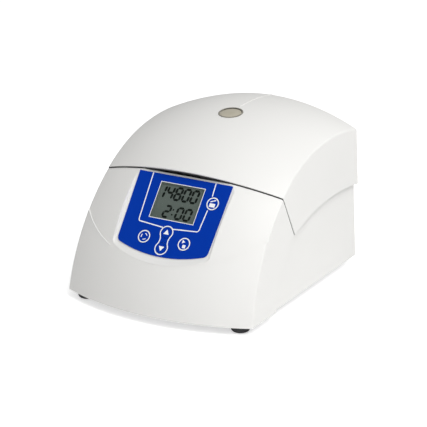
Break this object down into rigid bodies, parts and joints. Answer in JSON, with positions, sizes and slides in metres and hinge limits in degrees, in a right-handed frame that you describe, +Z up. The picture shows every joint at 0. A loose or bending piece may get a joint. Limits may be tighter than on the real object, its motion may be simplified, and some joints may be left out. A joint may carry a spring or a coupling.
{
  "type": "bench microcentrifuge",
  "caption": "Compact bench microcentrifuge with a crowned hinged lid, sight window, sunk control panel with display and keys, angled rotor and rubber feet.",
  "frame": {"origin": "centre of the outline on the plane the feet stand on", "axes": "+Z up, -Y towards the user, +X to the right as the user sees it"},
  "size_m": [0.211, 0.254, 0.1725],
  "materials": {
    "white_plastic": "moulded, satin",
    "grey_plastic": "moulded, matt",
    "blue_panel": "printed film, satin",
    "screen_glass": "clear",
    "screen": "liquid crystal display",
    "grey_key": "satin",
    "rubber": "matt",
    "clear_window": "clear",
    "dark_ring": "satin",
    "steel": "brushed",
    "aluminium": "turned",
    "black_plastic": "satin",
    "board_green": "printed board",
    "brass": "turned"
  },
  "bodies": {
    "body": {"housing": "white_plastic", "base_plate": "steel", "foot_front_left": "rubber", "foot_front_right": "rubber", "foot_rear_left": "rubber", "foot_rear_right": "rubber", "foot_screws": "steel", "housing_screws": "steel", "board_screws": "steel", "control_panel": "blue_panel", "display_lens": "screen_glass", "display_module": "screen", "key_switches": "black_plastic", "control_board": "board_green", "latch_case_left": "black_plastic", "latch_case_right": "black_plastic", "chamber_bowl": "steel", "deck_gasket": "rubber", "motor_boot": "rubber", "motor_plate": "steel", "dampers": "rubber", "damper_bolts": "steel", "motor_can": "steel", "stator": "steel", "bearing_upper": "steel", "bearing_lower": "steel", "drive_board": "board_green", "heat_sink": "aluminium", "capacitors": "black_plastic", "power_inlet": "black_plastic", "inlet_pins": "brass", "power_switch": "black_plastic", "hinge_pin_left": "steel", "hinge_pin_right": "steel"},
    "lid": {"lid_shell": "white_plastic", "lid_liner": "grey_plastic", "liner_screws": "steel", "lid_seal": "rubber", "sight_window": "clear_window", "window_ring": "dark_ring", "sight_tube": "grey_plastic", "sight_pane": "clear_window", "lid_striker_left": "steel", "lid_striker_right": "steel", "hinge_bushes": "brass"},
    "spindle": {"spindle": "steel", "armature": "steel", "rotor": "aluminium", "rotor_cover": "aluminium"},
    "clamp_nut": {"clamp_nut": "black_plastic"},
    "key_select": {"key_select": "grey_key"},
    "key_start": {"key_start": "grey_key"},
    "key_up": {"key_up": "grey_key"},
    "key_down": {"key_down": "grey_key"},
    "key_lid": {"key_lid": "grey_key"},
    "latch_bolt_left": {"latch_bolt_left": "steel"},
    "latch_bolt_right": {"latch_bolt_right": "steel"},
    "power_rocker": {"power_rocker": "black_plastic"},
    "fuse_drawer": {"fuse_drawer": "black_plastic"}
  },
  "joints": [
    {"name": "lid_hinge", "type": "hinge", "parent": "body", "child": "lid", "pos_m": [0, 0.1165, 0.094], "axis": [-1, 0, 0], "range_deg": [0, 75]},
    {"name": "spindle_spin", "type": "hinge", "parent": "body", "child": "spindle", "pos_m": [0, 0.038, 0.06], "axis": [0, 0, 1], "continuous": true},
    {"name": "clamp_nut_turn", "type": "hinge", "parent": "spindle", "child": "clamp_nut", "pos_m": [0, 0.038, 0.097], "axis": [0, 0, 1], "continuous": true},
    {"name": "key_select_press", "type": "slide", "parent": "body", "child": "key_select", "axis": [0, 0.7694, -0.6388], "range_m": [0, 0.0005], "stiffness_N_per_m": 400},
    {"name": "key_start_press", "type": "slide", "parent": "body", "child": "key_start", "axis": [0, 0.7694, -0.6388], "range_m": [0, 0.0005], "stiffness_N_per_m": 400},
    {"name": "key_up_press", "type": "slide", "parent": "body", "child": "key_up", "axis": [0, 0.7694, -0.6388], "range_m": [0, 0.0005], "stiffness_N_per_m": 400},
    {"name": "key_down_press", "type": "slide", "parent": "body", "child": "key_down", "axis": [0, 0.7694, -0.6388], "range_m": [0, 0.0005], "stiffness_N_per_m": 400},
    {"name": "key_lid_press", "type": "slide", "parent": "body", "child": "key_lid", "axis": [0, 0.7694, -0.6388], "range_m": [0, 0.0005], "stiffness_N_per_m": 400},
    {"name": "latch_left_slide", "type": "slide", "parent": "body", "child": "latch_bolt_left", "axis": [1, 0, 0], "range_m": [0, 0.006]},
    {"name": "latch_right_slide", "type": "slide", "parent": "body", "child": "latch_bolt_right", "axis": [-1, 0, 0], "range_m": [0, 0.006]},
    {"name": "power_rocker_tilt", "type": "hinge", "parent": "body", "child": "power_rocker", "pos_m": [0.052, 0.1195, 0.064], "axis": [0, 0, 1], "range_deg": [0, 14]},
    {"name": "fuse_drawer_slide", "type": "slide", "parent": "body", "child": "fuse_drawer", "axis": [0, 1, 0], "range_m": [0, 0.012]}
  ],
  "couplings": [
    {"joint": "latch_right_slide", "follows": "latch_left_slide", "ratio": 1}
  ]
}
